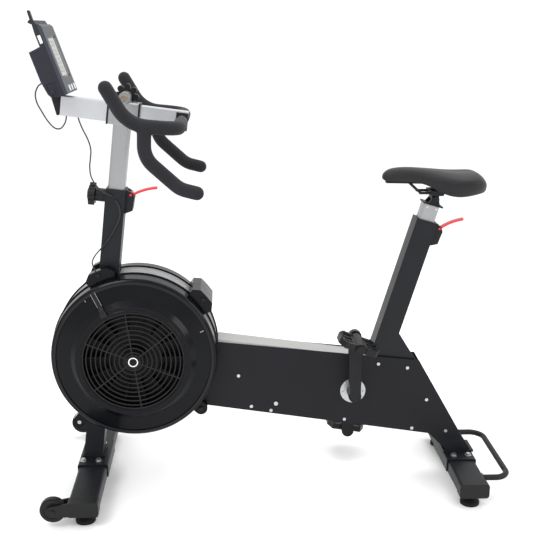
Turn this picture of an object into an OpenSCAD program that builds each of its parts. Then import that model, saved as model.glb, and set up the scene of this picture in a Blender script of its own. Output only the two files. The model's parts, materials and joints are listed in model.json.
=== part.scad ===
// Air bike: fan wheel at the front, belt drive in the main beam, adjustable saddle and handlebar.
// +X points to the rear of the bike, +Y to its right side, +Z up. The origin is on the floor under the middle of the bike.
// All lengths are in millimetres, all angles in degrees.

/* [Front post] */
// Lean of the front post towards the rider
lean = 6.6; // [5.5:0.1:7.5]
// Position of the post's axis at floor level
post_x0 = -519.3; // [-521:0.1:-517]
// Outer size of the post along the bike
post_w = 50; // [49:0.5:52]
// Outer size of the post across the bike
post_t = 60; // [59:0.5:60]
// Length of the post's axis from the floor to its top
post_top = 816; // [800:1:830]

/* [Beam] */
// Slope of the beam's top
beam_dip = 7.6; // [7:0.1:8]
// Slope of the beam's bottom edge
low_dip = 8.61; // [8:0.01:9]
// Width of the beam
beam_t = 60; // [58:1:60]
// Height of the silver strip on the beam
trim_h = 9; // [6:0.5:10]
// Thickness of the beam's upper and lower rails
rail_h = 12; // [10:0.5:12]
// Thickness of the side covers
cover_t = 2.2; // [1.5:0.1:2.2]

/* [Seat tube] */
// Lean of the seat tube
seat_lean = 16; // [15:0.1:17]
// Outer size of the seat tube along the bike
seat_w = 56; // [55:0.5:58]
// Width of the seat tube and of the rear gusset
seat_t = 52; // [51:0.5:52]
// Length of the seat tube above the gusset's kink
seat_top = 312.7; // [300:0.1:320]

/* [Fan] */
// Fan axis, along the bike
fan_x = -387; // [-388:0.5:-386]
// Fan axis height
fan_z = 380; // [378:0.5:382]
// Outer radius of the fan shells
fan_r = 214; // [213:0.5:216]
// Half width of the pale outlet band between the shells
band_h = 33; // [33:0.2:34]
// Radius of the fan wheels
wheel_fan_r = 188; // [170:1:192]
// Number of blades on each fan wheel
blades = 14; // [10:1:16]
// Number of rings in each intake grille
rings = 9; // [7:1:9]

/* [Drive] */
// Bottom bracket axis, along the bike
bb_x = 191; // [190:0.5:192]
// Bottom bracket axis height
bb_z = 264.4; // [263:0.1:266]
// Length of the cranks, axis to axis
crank_len = 170; // [165:1:172.5]
// Angle of the left crank from vertical
crank_turn = -2.3; // [-5:0.1:5]
// Radius of the drive pulley
pulley_r = 70; // [65:1:70]
// Radius of the fan pulley
pinion_r = 14; // [13:0.5:15]

/* [Stabilisers] */
// Front stabiliser centre, along the bike
front_x = -506; // [-508:0.5:-504]
// Rear stabiliser centre, along the bike
rear_x = 490.5; // [489:0.5:492]
// Width of the stabiliser tubes
stab_w = 74; // [72:1:74]
// Height of the stabiliser tubes
stab_h = 36; // [34:1:36]
// Half length of the front stabiliser tube
front_half = 266; // [250:1:280]
// Half length of the rear stabiliser tube
rear_half = 207; // [200:1:220]
// Radius of the transport wheels
roller_r = 32; // [28:0.5:32]
// Radius of the levelling feet
foot_r = 25; // [20:0.5:27]

/* [Handlebar] */
// Slope of the boom, down towards the rider
boom_dip = 7; // [6.5:0.1:7.5]
// Boom height and width
boom_h = 47; // [45:0.5:47]
boom_t = 40; // [38:0.5:40]
// Radius of the foam grips
foam_r = 16.5; // [15:0.5:17]
// Radius of the steel bar
bar_r = 13.5; // [12:0.5:13.5]
// Distance of each grip from the middle of the bike
bar_y = 207; // [195:1:215]

/* [Saddle] */
// Saddle nose, along the bike
nose_x = 252; // [250:1:256]
// Saddle tail, along the bike
tail_x = 519; // [515:1:522]
// Half width of the saddle at the rear
seat_half = 78; // [70:1:80]

/* [Console] */
// Lean of the console's face, away from the rider
face_lean = 19.3; // [18:0.1:21]
// Half width of the console
con_half = 75; // [70:1:76]

/* [Hidden] */

BLACK = [0.13, 0.14, 0.15];
SILVER = [0.82, 0.83, 0.84];
GREY = [0.55, 0.56, 0.57];
RED = [0.85, 0.1, 0.1];
FOAM = [0.2, 0.2, 0.22];
SLATE = [0.25, 0.26, 0.31];

tl = tan(lean);
stab_z = 53.5;
stab_top = stab_z + stab_h / 2;
plate_z = stab_top + 4;
roller_x = -580.5;
roller_z = 49;
pedal_l = [bb_x + crank_len * sin(crank_turn), bb_z + crank_len * cos(crank_turn)];
pedal_r = [bb_x - crank_len * sin(crank_turn), bb_z - crank_len * cos(crank_turn)];
seat_o = [284, 427.7];
boom_o = [-500, 1010.4];
pivot = [-562, 1054];
head_x = 98;
head_z = 39;
shell_h = 108;

// Broad lugs: first and last angle, outer radius, inner end
lug_blocks = [[102, 121, 243, band_h + 0.5], [31, 49, 245, 0.3]];

// Helpers --------------------------------------------------------------

// Outline drawn in X and Z, given a thickness from y0 to y1
module slab(y0, y1) translate([0, y1, 0]) rotate([90, 0, 0]) linear_extrude(y1 - y0) children();
// Round bar across the bike
module rod_y(x, z, r, y0, y1, fn = 64) translate([x, y1, z]) rotate([90, 0, 0]) cylinder(r = r, h = y1 - y0, $fn = fn);
// Rectangle with exact round corners, centred
module rrect(w, h, r) {
    square([w - 2 * r, h], center = true);
    square([w, h - 2 * r], center = true);
    for (i = [-1, 1], j = [-1, 1]) translate([i * (w / 2 - r), j * (h / 2 - r)]) circle(r = r, $fn = 32);
}
// Frames of the sloping members
module on_post() translate([post_x0, 0, 0]) rotate([0, lean, 0]) children();
module on_seat() translate([seat_o[0], 0, seat_o[1]]) rotate([0, seat_lean, 0]) children();
module on_boom() translate([boom_o[0], 0, boom_o[1]]) rotate([0, boom_dip, 0]) children();
module on_face() translate([pivot[0], 0, pivot[1]]) rotate([0, -face_lean, 0]) children();
module at_fan() translate([fan_x, 0, fan_z]) rotate([90, 0, 0]) children();
module both() { children(); mirror([0, 1, 0]) children(); }

function arc(c, r, a0, a1, n) = [for (i = [0:n]) c + r * [cos(a0 + i * (a1 - a0) / n), sin(a0 + i * (a1 - a0) / n)]];
function unit(v) = v / norm(v);
function side(v) = abs(v[1]) < 0.9 ? unit(cross(v, [0, 1, 0])) : unit(cross(v, [1, 0, 0]));
module basis(o, x, y, z)
    multmatrix([[x[0], y[0], z[0], o[0]], [x[1], y[1], z[1], o[1]], [x[2], y[2], z[2], o[2]], [0, 0, 0, 1]]) children();
// Straight round bar between two points
module bar(a, b, r) {
    z = unit(b - a);
    x = side(z);
    basis(a, x, cross(z, x), z) cylinder(r = r, h = norm(b - a), $fn = 40);
}
// Bent round bar through the points p, with a bend radius at each inner point
module pipe(p, rb, r) {
    n = len(p);
    d = [for (i = [0:n - 2]) unit(p[i + 1] - p[i])];
    t = [for (i = [0:n - 1]) (i == 0 || i == n - 1) ? 0 : rb[i - 1] * tan(acos(d[i - 1] * d[i]) / 2)];
    for (i = [0:n - 2]) bar(p[i] + t[i] * d[i], p[i + 1] - t[i + 1] * d[i], r);
    for (i = [1:n - 2]) {
        a = d[i - 1];
        b = d[i];
        u = unit(b - (b * a) * a);
        c = p[i] - t[i] * a + rb[i - 1] * u;
        basis(c, -u, a, cross(-u, a)) rotate_extrude(angle = acos(a * b), $fn = 96) translate([rb[i - 1], 0]) circle(r = r, $fn = 40);
    }
}

// The same path as a list of points, m + 1 of them on each bend
function bends(p, rb, m) = let (n = len(p), d = [for (i = [0:n - 2]) unit(p[i + 1] - p[i])]) concat([p[0]],
    [for (i = [1:n - 2]) let (a = d[i - 1], b = d[i], w = acos(a * b), u = unit(b - (b * a) * a), c = p[i] - rb[i - 1] * tan(w / 2) * a + rb[i - 1] * u)
        for (j = [0:m]) c - rb[i - 1] * cos(j * w / m) * u + rb[i - 1] * sin(j * w / m) * a], [p[n - 1]]);
// Tube of k sides with radius r along the points c; ref is a direction the tube never takes; dome rounds its far end
module tube(c0, r, k, ref, dome = false) {
    m = len(c0);
    e = unit(c0[m - 1] - c0[m - 2]);
    c = dome ? concat(c0, [for (a = [25, 50, 75]) c0[m - 1] + r * sin(a) * e]) : c0;
    q = dome ? concat([for (x = c0) r], [for (a = [25, 50, 75]) r * cos(a)]) : [for (x = c0) r];
    n = len(c);
    d = [for (i = [0:n - 1]) unit(c[min(i + 1, n - 1)] - c[max(i - 1, 0)])];
    ring = [for (i = [0:n - 1]) let (u = unit(cross(d[i], ref)), v = cross(d[i], u))
        for (j = [0:k - 1]) c[i] + q[i] * (cos(j * 360 / k) * u + sin(j * 360 / k) * v)];
    polyhedron(concat(ring, [c[0], c[n - 1]]), concat(
        [for (i = [0:n - 2], j = [0:k - 1]) [i * k + j, i * k + (j + 1) % k, (i + 1) * k + (j + 1) % k, (i + 1) * k + j]],
        [for (j = [0:k - 1]) [k * n, (j + 1) % k, j]],
        [for (j = [0:k - 1]) [k * n + 1, (n - 1) * k + j, (n - 1) * k + (j + 1) % k]]));
}

// Top line of the beam and bottom line of the beam at a given X
function beam_top(x) = 411.5 - tan(beam_dip) * (x + 171);
function beam_low(x) = 225.8 - tan(low_dip) * (x + 200);
// Rear edge of the gusset and leg at a given height
function rear_edge(z) = 311.2 + 0.63 * (422.8 - z);

screw_at = [[-117, 309], [-82, 220.8], [-16, 228], [-29, 208.4], [171, 180], [258, 339], [337, 327], [394, 234], [358, 151], [452, 141]];
// Screw lugs of the fan shells: angle, distance from the axis, inner end
lugs = [[112, 231.6, band_h + 0.5], [40, 232, 0.3], [-129, 240, band_h + 0.5], [-42, 229, band_h + 0.5]];

// Frame -----------------------------------------------------------------

module main_frame() color(BLACK) difference() {
    union() {
        on_post() translate([-post_w / 2, -post_t / 2, 79.5]) cube([post_w, post_t, post_top - 79.5]);
        translate([front_x - 33, -32, plate_z + 0.1]) cube([60, 64, 6]);
        // upper and lower rails
        slab(-beam_t / 2 + 0.2, beam_t / 2 - 0.2) polygon([[-446, beam_top(-446) - trim_h], [254, beam_top(254) - trim_h],
            [254, beam_top(254) - trim_h - rail_h], [-446, beam_top(-446) - trim_h - rail_h]]);
        slab(-beam_t / 2 + 0.2, beam_t / 2 - 0.2) polygon([[-467, beam_low(-467)], [-467, beam_low(-467) + rail_h], [404, beam_low(404) + rail_h], [404, beam_low(404)]]);
        both() {
            // plates that carry the fan shaft
            slab(-26, -22) polygon([[-445, beam_top(-445) - 15], [-320, beam_top(-320) - 15], [-320, beam_low(-320) + 5], [-464, beam_low(-464) + 5]]);
            rod_y(fan_x, fan_z, 18, -31, -13);
            // plates of the gusset, which carry the bottom bracket
            slab(-seat_t / 2 - 0.3, -seat_t / 2 + 4) polygon([[110, beam_top(110) - 14], [238, beam_top(238) - 14], [256, 410], [311.2, 422.8],
                [rear_edge(81), 81], [458, 81], [404.4, beam_low(404.4)], [110, beam_low(110) + 4]]);
            rod_y(bb_x, bb_z, 24, -31, -14);
        }
        // rear wall of the gusset and front wall of the leg
        slab(-seat_t / 2 - 0.3, seat_t / 2 + 0.3) polygon([[311.2, 422.8], [rear_edge(81), 81], [rear_edge(81) - 5, 81], [306.2, 422.8]]);
        slab(-seat_t / 2 - 0.3, seat_t / 2 + 0.3) polygon([[404.4, beam_low(404.4)], [458, 81], [463, 81], [409.4, beam_low(404.4)]]);
        translate([450, -32, plate_z + 0.1]) cube([84, 64, 6]);
        // seat tube
        on_seat() translate([-seat_w / 2, -seat_t / 2, -86]) cube([seat_w, seat_t, seat_top + 86]);
        // pull pin boss
        on_post() translate([-post_w / 2 + 1, 0, 793]) rotate([0, -90, 0]) cylinder(r = 17, h = 27, $fn = 64);
    }
    on_post() translate([-21.1, -25.4, 84]) cube([42.2, 50.8, 800]);
    on_seat() translate([-21.35, -20.35, -60]) cube([42.7, 40.7, 500]);
    on_post() translate([-20, 0, 793]) rotate([0, -90, 0]) cylinder(r = 5.06, h = 40, $fn = 48);
    rod_y(bb_x, bb_z, 12.55, -40, 40);
    rod_y(fan_x, fan_z, 8.55, -40, 40);
}

module top_trim() color(SILVER) slab(-beam_t / 2, beam_t / 2) polygon([[-171, beam_top(-171)], [234.5, beam_top(234.5)],
    [231.8, beam_top(231.8) - trim_h + 0.1], [-171, beam_top(-171) - trim_h + 0.1]]);

module cover() difference() {
    slab(-beam_t / 2 - 0.3 - cover_t, -beam_t / 2 - 0.3) difference() {
        polygon([[-262, beam_top(-262) - 10], [rear_edge(331) - 1, beam_top(rear_edge(331)) + 8.5], [rear_edge(119.5) - 1, beam_low(rear_edge(119.5)) + 1],
            [404, beam_low(404)], [-262, beam_low(-262)]]);
        translate([bb_x, bb_z]) circle(r = 26, $fn = 64);
    }
    for (s = screw_at) rod_y(s[0], s[1], 2.7, -34, -29, 24);
}
module left_cover() color(BLACK) cover();
module right_cover() color(BLACK) mirror([0, 1, 0]) cover();

module housing_screws() color(SILVER) both() {
    for (s = screw_at) {
        rod_y(s[0], s[1], 2.4, -33, -30.4, 24);
        difference() {
            rod_y(s[0], s[1], s[0] == -16 ? 5.6 : 4.4, -35, -32.6, 32);
            rod_y(s[0], s[1], 1.6, -36, -33.8, 24);
        }
    }
    at_fan() for (l = lugs) rotate([0, 0, l[0]]) translate([l[1], 0, 58]) difference() {
        cylinder(r = 5, h = 4.5, $fn = 32);
        translate([0, 0, 3]) cylinder(r = 2, h = 3, $fn = 24);
    }
}

module bracket_bolts() color(SILVER) both() for (x = [front_x - 28, front_x + 13, rear_x - 16, rear_x + 23.5]) translate([x, -52, plate_z]) {
    translate([0, 0, 0.1]) cylinder(r = 9, h = 2, $fn = 40);
    translate([0, 0, 2.1]) cylinder(r = 6.4, h = 5, $fn = 6);
}

module bracket(x) translate([x, 0, 0]) difference() {
    translate([0, 74.5, 0]) rotate([90, 0, 0]) linear_extrude(149) difference() {
        translate([0, (plate_z + 38) / 2]) rrect(stab_w + 6.6, plate_z - 38, 4);
        translate([0, 30]) square([stab_w + 0.6, 2 * (stab_top + 0.3 - 30)], center = true);
    }
}
module front_bracket() color(BLACK) bracket(front_x);
module rear_bracket() color(BLACK) bracket(rear_x);

module stabilizer(x, half, fy) translate([x, 0, 0]) difference() {
    translate([0, half, stab_z]) rotate([90, 0, 0]) linear_extrude(2 * half) difference() {
        rrect(stab_w, stab_h, 7);
        rrect(stab_w - 5, stab_h - 5, 4.5);
    }
    for (i = [-1, 1]) translate([0, i * fy, 30]) cylinder(r = 5.1, h = 12, $fn = 32);
}
module front_stabilizer() color(BLACK) stabilizer(front_x, front_half, 225);
module rear_stabilizer() color(BLACK) stabilizer(rear_x, rear_half, 172);

module end_cap(x, half, back) translate([x, 0, stab_z]) difference() {
    translate([0, -half + back, 0]) rotate([90, 0, 0]) linear_extrude(back + 5) rrect(stab_w + 3.6, stab_h + 3.6, 8);
    translate([0, -half + back + 1, 0]) rotate([90, 0, 0]) linear_extrude(back + 1.4) rrect(stab_w + 0.6, stab_h + 0.6, 7);
}
module front_caps() color(BLACK) both() {
    end_cap(front_x, front_half, 28);
    for (y = [-271, -243]) slab(y, y + 5) difference() {
        union() {
            polygon([[front_x - 37, 71.5], [roller_x, roller_z + 15], [roller_x, roller_z - 15], [front_x - 37, 35.5]]);
            translate([roller_x, roller_z]) circle(r = 15, $fn = 64);
        }
    }
    rod_y(roller_x, roller_z, 4, -271, -238, 32);
    rod_y(roller_x, roller_z, 6.5, -274, -270.5, 32);
}
module rear_caps() color(BLACK) both() end_cap(rear_x, rear_half, 22);

module rear_handle() color(BLACK) {
    x0 = rear_x + stab_w / 2 + 0.1;
    pipe([[x0, -138, 54], [605, -138, 54], [605, 138, 54], [x0, 138, 54]], [38, 38], 8);
    for (i = [-1, 1]) translate([x0, i * 138, 54]) rotate([0, 90, 0]) cylinder(r = 12, h = 3, $fn = 40);
}

// Fan housing -------------------------------------------------------------

module fan_shell() difference() {
    union() {
        rotate_extrude($fn = 160) polygon([[fan_r, band_h], [fan_r - 1.5, 80], [fan_r - 3, 84.5], [fan_r - 6.5, 87], [160, 96.5], [148, shell_h - 0.6], [146.5, shell_h],
            [133, shell_h], [131, shell_h - 1], [131, shell_h - 4], [145.5, shell_h - 3.5], [157.5, 93.5], [fan_r - 7, 84], [fan_r - 4.5, 80], [fan_r - 3, band_h]]);
        for (l = [lugs[2], lugs[3]]) rotate([0, 0, l[0]]) {
            translate([l[1], 0, l[2]]) cylinder(r = 17, h = 57.8 - l[2], $fn = 48);
            translate([fan_r - 2.2, -16.8, band_h + 1]) cube([l[1] - fan_r + 2.2, 33.6, 56.4 - band_h]);
        }
        for (l = lug_blocks) {
            translate([0, 0, l[3]]) linear_extrude(57.8 - l[3]) polygon(concat(arc([0, 0], fan_r + 0.3, l[0], l[1], 9), [(l[2] - 13) * [cos(l[1] + 0.4), sin(l[1] + 0.4)]],
                arc([0, 0], l[2], l[1] - 3.5, l[0] + 3.5, 8), [(l[2] - 13) * [cos(l[0] - 0.4), sin(l[0] - 0.4)]]));
            translate([0, 0, band_h + 1.2]) linear_extrude(55.8 - band_h) polygon(concat(arc([0, 0], fan_r - 2.1, l[0] + 0.5, l[1] - 0.5, 9), arc([0, 0], fan_r + 2, l[1] - 0.5, l[0] + 0.5, 9)));
        }
    }
    for (l = lugs) rotate([0, 0, l[0]]) translate([l[1], 0, 48]) cylinder(r = 3, h = 20, $fn = 24);
}
module fan_shell_left() color(BLACK) at_fan() fan_shell();
module fan_shell_right() color(BLACK) mirror([0, 1, 0]) at_fan() fan_shell();

module grille() {
    translate([0, 0, shell_h - 5]) linear_extrude(3.6) {
        for (i = [1:rings]) difference() {
            circle(r = 12 + 12 * i + 1.5, $fn = 96);
            circle(r = 12 + 12 * i - 1.5, $fn = 96);
        }
        difference() {
            circle(r = 130.7, $fn = 128);
            circle(r = 127.5, $fn = 128);
        }
        for (i = [0:5]) rotate(38 + 60 * i) translate([14, -1.5]) square([115, 3]);
    }
    translate([0, 0, shell_h - 6]) cylinder(r = 19.5, h = 7, $fn = 64);
    translate([0, 0, shell_h + 0.9]) cylinder(r = 17, h = 1.6, $fn = 64);
}
module grille_left() color(BLACK) at_fan() grille();
module grille_right() color(BLACK) mirror([0, 1, 0]) at_fan() grille();

module outlet_band() color(GREY) at_fan() for (a = [[7, 93.2], [116, 114.5], [-113.2, 68]]) rotate([0, 0, a[0]])
    translate([0, 0, -band_h + 0.4]) rotate_extrude(angle = a[1], $fn = 160) translate([fan_r - 3.2, 0]) square([2.2, 2 * band_h - 0.8]);

module damper_lever() color(BLACK) at_fan() {
    // ring that lies on the shell's edge, and the lever that turns it
    rotate_extrude($fn = 128) polygon([[206, 88.1], [199, 89.6], [199, 91.6], [206, 90.1]]);
    rotate([0, 0, 119]) {
        translate([0, 6, 0]) rotate([90, 0, 0]) linear_extrude(12) polygon([[141, 108.7], [148.6, 108.7], [161, 97.7], [205, 88.5], [205, 92.9], [164, 101], [152, 112], [141, 112]]);
        translate([139, -8.5, 109.2]) cube([14, 17, 6.5]);
    }
}

// Drive -----------------------------------------------------------------

module bb_discs() color(SILVER) both() difference() {
    rod_y(bb_x, bb_z, 34, -37.6, -32.6, 96);
    rod_y(bb_x, bb_z, 13.4, -40, -30);
    for (i = [-1, 1]) rod_y(bb_x + i * 26, bb_z, 3, -38, -35.5, 24);
}

module drive_spindle() color(SILVER) difference() {
    union() {
        rod_y(bb_x, bb_z, 12.5, -62, 62);
        difference() {
            union() {
                rod_y(bb_x, bb_z, pulley_r, -9, 9, 128);
                for (y = [-10.5, 9]) rod_y(bb_x, bb_z, pulley_r + 1.5, y, y + 1.5, 128);
            }
            for (a = [0:60:300]) rod_y(bb_x + 42 * cos(a), bb_z + 42 * sin(a), 15, -12, 12, 40);
        }
    }
}

module crank(y, p) {
    dir = unit([p[0] - bb_x, p[1] - bb_z]);
    n = [-dir[1], dir[0]];
    b = [bb_x, bb_z];
    difference() {
        union() {
            slab(y - 8, y + 8) {
                polygon([b + 14 * n, b + 50 * dir + 16 * n, p + 17 * n, p - 17 * n, b + 50 * dir - 16 * n, b - 14 * n]);
                translate(p) circle(r = 17, $fn = 64);
                translate(b) circle(r = 15, $fn = 64);
            }
            rod_y(b[0], b[1], 17, y, y + 38.4, 64);
        }
        rod_y(b[0], b[1], 12.52, y - 20, y + 40, 64);
        slab(y - 20, y + 20) polygon([b - 8 * dir + 1.2 * n, b - 30 * dir + 1.2 * n, b - 30 * dir - 1.2 * n, b - 8 * dir - 1.2 * n]);
    }
    rod_y(b[0], b[1], 12.4, y - 7, y - 0.2, 48);
    // pedal axle
    rod_y(p[0], p[1], 7, y - 105, y - 7, 48);
    rod_y(p[0], p[1], 11, y - 12, y - 8, 6);
    rod_y(p[0], p[1], 10.5, y - 109, y - 104.5, 40);
}
module crank_left() color(BLACK) crank(-78, pedal_l);
module crank_right() color(BLACK) mirror([0, 1, 0]) crank(-78, pedal_r);

module pedal(p, tilt) translate([p[0], 0, p[1]]) rotate([0, tilt, 0]) difference() {
    union() {
        translate([0, -137, -8]) difference() {
            linear_extrude(16) difference() {
                polygon([[-53, -20], [-40, -45], [-15, -45], [-12, -38], [12, -38], [15, -45], [40, -45], [53, -20], [53, 20], [40, 45], [15, 45], [12, 38], [-12, 38], [-15, 45], [-40, 45], [-53, 20]]);
                for (i = [-1, 1]) {
                    translate([i * 31 - 12, -33]) square([24, 18]);
                    translate([i * 33 - 14, -9]) square([28, 18]);
                    translate([i * 31 - 12, 15]) square([24, 18]);
                }
            }
            for (z = [-6, 13.5]) translate([-42, -34, z]) cube([84, 68, 8.5]);
        }
        rod_y(0, 0, 14, -182, -92, 48);
        for (q = [[36, -176], [36, -98], [48, -152], [48, -122]], i = [-1, 1], z = [-10.2, 7.6]) translate([i * q[0], q[1], z]) cylinder(r = 1.8, h = 2.6, $fn = 16);
    }
    rod_y(0, 0, 7.07, -200, -80, 48);
}
module pedal_left() color(BLACK) pedal(pedal_l, 20);
module pedal_right() color(BLACK) mirror([0, 1, 0]) pedal(pedal_r, 9);

// Outline of a belt round both pulleys, e mm outside them
belt_a = atan2(fan_z - bb_z, fan_x - bb_x);
belt_k = acos((pulley_r - pinion_r) / norm([fan_x - bb_x, fan_z - bb_z]));
function belt_outline(e) = concat(
    [for (i = [0:40]) let (a = belt_a + belt_k + i * (360 - 2 * belt_k) / 40) [bb_x, bb_z] + (pulley_r + e) * [cos(a), sin(a)]],
    [for (i = [0:20]) let (a = belt_a - belt_k + i * 2 * belt_k / 20) [fan_x, fan_z] + (pinion_r + e) * [cos(a), sin(a)]]);
module drive_belt() color(BLACK) slab(-8, 8) difference() {
    polygon(belt_outline(3.2));
    polygon(belt_outline(0.5));
}

module fan_shaft() color(SILVER) {
    rod_y(fan_x, fan_z, 8.5, -88, 88, 48);
    rod_y(fan_x, fan_z, pinion_r, -9, 9, 64);
    for (y = [-10.5, 9]) rod_y(fan_x, fan_z, pinion_r + 1, y, y + 1.5, 64);
}

module fan_wheels() color(BLACK) both() at_fan() difference() {
    union() {
        translate([0, 0, 39]) cylinder(r = wheel_fan_r, h = 2, $fn = 128);
        translate([0, 0, 38]) cylinder(r = 26, h = 44, $fn = 64);
        translate([0, 0, 40]) linear_extrude(38) for (i = [0:blades - 1]) rotate(i * 360 / blades) translate([70, -1.25]) square([wheel_fan_r - 71, 2.5]);
        translate([0, 0, 75]) linear_extrude(3) difference() {
            circle(r = wheel_fan_r, $fn = 128);
            circle(r = wheel_fan_r - 8, $fn = 128);
        }
    }
    translate([0, 0, 20]) cylinder(r = 8.52, h = 80, $fn = 48);
}

// Rolling and standing parts -----------------------------------------------

module roller() difference() {
    union() {
        rod_y(roller_x, roller_z, roller_r, -261, -247, 96);
        for (y = [-263.5, -247]) rod_y(roller_x, roller_z, roller_r - 3, y, y + 2.5, 96);
        rod_y(roller_x, roller_z, 9, -264.3, -243.9, 48);
    }
    rod_y(roller_x, roller_z, 4.07, -280, -230, 32);
    for (y = [-265, -246]) difference() {
        rod_y(roller_x, roller_z, 22, y, y + 3, 64);
        rod_y(roller_x, roller_z, 10, y - 1, y + 4, 48);
    }
}
module wheel_left() color(BLACK) roller();
module wheel_right() color(BLACK) mirror([0, 1, 0]) roller();

module foot(x, y) translate([x, y, 0]) {
    cylinder(r = foot_r, h = 8, $fn = 64);
    translate([0, 0, 8]) cylinder(r1 = foot_r, r2 = 13, h = 9, $fn = 64);
    cylinder(r = 5, h = 58, $fn = 32);
    translate([0, 0, 24]) cylinder(r = 9, h = 6, $fn = 6);
}
module foot_front_left() color(BLACK) foot(front_x, -225);
module foot_front_right() color(BLACK) foot(front_x, 225);
module foot_rear_left() color(BLACK) foot(rear_x, -172);
module foot_rear_right() color(BLACK) foot(rear_x, 172);

// Clamps and levers -------------------------------------------------------

// Clamp block in a frame whose Z runs up the tube; x is the tube's rear face, z the tube's top
module clamp_block(x, z) difference() {
    slab(-19, 19) polygon([[x, z - 62], [x + 20, z - 52], [x + 22, z - 17], [x + 14, z - 6], [x + 3, z - 0.5], [x, z - 0.5]]);
    translate([x + 3, -6.5, z - 22]) cube([40, 13, 40]);
    rod_y(x + 12, z - 12, 3.06, -30, 30, 32);
}
module post_clamp_block() color(BLACK) on_post() clamp_block(post_w / 2 + 0.1, post_top);
module seat_clamp_block() color(BLACK) on_seat() clamp_block(seat_w / 2 + 0.1, seat_top);

// Curved lever on its own cross pin; a is how far it is raised
module lever(x, z, a) translate([x + 12, 0, z - 12]) {
    rod_y(0, 0, 3, -18.8, 18.8, 32);
    rod_y(0, 0, 6.5, -6.3, 6.3, 48);
    rotate([0, -a, 0]) slab(-6, 6) polygon(concat(arc([74.4, -129.9], 149.2, 121, 93, 16), [[66.4, 15.8]], arc([74.4, -129.9], 143.2, 93, 120, 16)));
}
module post_lever() color(RED) on_post() lever(post_w / 2 + 0.1, post_top, lean);
module seat_lever() color(RED) on_seat() lever(seat_w / 2 + 0.1, seat_top, seat_lean + 6);

// Handlebar assembly --------------------------------------------------------

module handle_post() color(SILVER) difference() {
    union() {
        on_post() translate([0, 0, 600]) linear_extrude(384) rrect(41.5, 50, 6);
        on_boom() translate([60, 0, 0]) rotate([90, 0, 90]) linear_extrude(78) rrect(52, 57.6, 4);
        on_boom() translate([84, -24, 24]) cube([28, 48, 15]);
        on_boom() rod_y(head_x, head_z, 13.5, -30, 30, 64);
    }
    on_post() translate([0, 0, 590]) linear_extrude(360) rrect(35.5, 44, 4);
    on_boom() translate([40, -boom_t / 2 - 0.4, -boom_h / 2 - 0.4]) cube([120, boom_t + 0.8, boom_h + 0.8]);
    on_boom() rod_y(head_x, head_z, 4.06, -18, 40, 32);
    on_boom() translate([80, -1, 26]) cube([40, 2, 4]);
}

// Knob with round lobes, its axis along +Z, its face at z = 0
module knob(r, n, h) {
    cylinder(r = r * 0.72, h = h, $fn = 64);
    for (i = [0:n - 1]) rotate([0, 0, i * 360 / n]) translate([r * 0.76, 0, 0]) cylinder(r = r * 0.24, h = h * 0.9, $fn = 32);
    translate([0, 0, h]) cylinder(r1 = r * 0.6, r2 = r * 0.4, h = 3, $fn = 64);
}
module top_knob() color(BLACK) on_boom() translate([head_x, 31, head_z]) rotate([-90, 0, 0]) {
    knob(31, 8, 20);
    translate([0, 0, -40]) cylinder(r = 4, h = 45, $fn = 32);
}
module pin_knob() color(BLACK) on_post() translate([-post_w / 2 - 27, 0, 793]) rotate([0, -90, 0]) {
    translate([0, 0, 0.4]) knob(30, 5, 17);
    translate([0, 0, -30]) cylinder(r = 5, h = 35, $fn = 32);
}

module boom() color(SILVER) on_boom() difference() {
    translate([-55, -boom_t / 2, -boom_h / 2]) cube([313, boom_t, boom_h]);
    translate([-60, -boom_t / 2 + 3, -boom_h / 2 + 3]) cube([330, boom_t - 6, boom_h - 6]);
    translate([228, -40, -40]) cube([60, 80, 40 + boom_h / 2 - 3]);
    for (x = [-41.2, -12.8]) translate([x, 0, -40]) cylinder(r = 3.2, h = 30, $fn = 24);
}
module boom_insert() color(BLACK) on_boom() difference() {
    translate([228.2, -boom_t / 2, -boom_h / 2]) cube([29.6, boom_t, boom_h - 3.1]);
    rod_y(243, 0, bar_r + 0.02, -40, 40, 64);
}

bar_o = [-500 + 243 * cos(boom_dip), 0, 1010.4 - 243 * sin(boom_dip)];
// Points of the grips, in X and Z
rail_end = [-373, bar_o[2] + tan(5) * (bar_o[0] + 373)];
tip = [-420.5, 1072.5];
drop0 = [-336, bar_o[2] + tan(5) * (bar_o[0] + 336)];
module bar_tube() color(GREY) rod_y(bar_o[0], bar_o[2], bar_r, -66, 66, 64);
module bar_foam() color(FOAM) both() {
    tube(bends([[bar_o[0], -66.1, bar_o[2]], [bar_o[0], -bar_y, bar_o[2]], [rail_end[0], -bar_y, rail_end[1]], [tip[0], -bar_y, tip[1]]], [44, 80], 8),
        foam_r, 24, [0.6, -0.6, 0.5], true);
    // the lower grip butts against the underside of the rail
    tube(bends([[drop0[0], -bar_y, drop0[1] - foam_r - 0.9], [-338, -bar_y, 916], [-257, -bar_y, 843.4], [-217.7, -bar_y, 833.6]], [60, 60], 6),
        foam_r - 0.4, 24, [0, 1, 0], true);
}

// Console ---------------------------------------------------------------------

module console_bracket() color(BLACK) difference() {
    union() {
        slab(-18, 18) polygon([[-556, 1034.5], [-560.5, 993.5], [-565, 993.5], [-576, 1036], [-570.5, 1056], [-553.5, 1056]]);
        rod_y(pivot[0], pivot[1], 9, -18, 18, 48);
        on_boom() translate([-60, -boom_t / 2 + 3.2, -boom_h / 2 + 3.2]) cube([14, boom_t - 6.4, boom_h - 6.4]);
    }
    rod_y(pivot[0], pivot[1], 4.06, -30, 30, 32);
}

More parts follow.
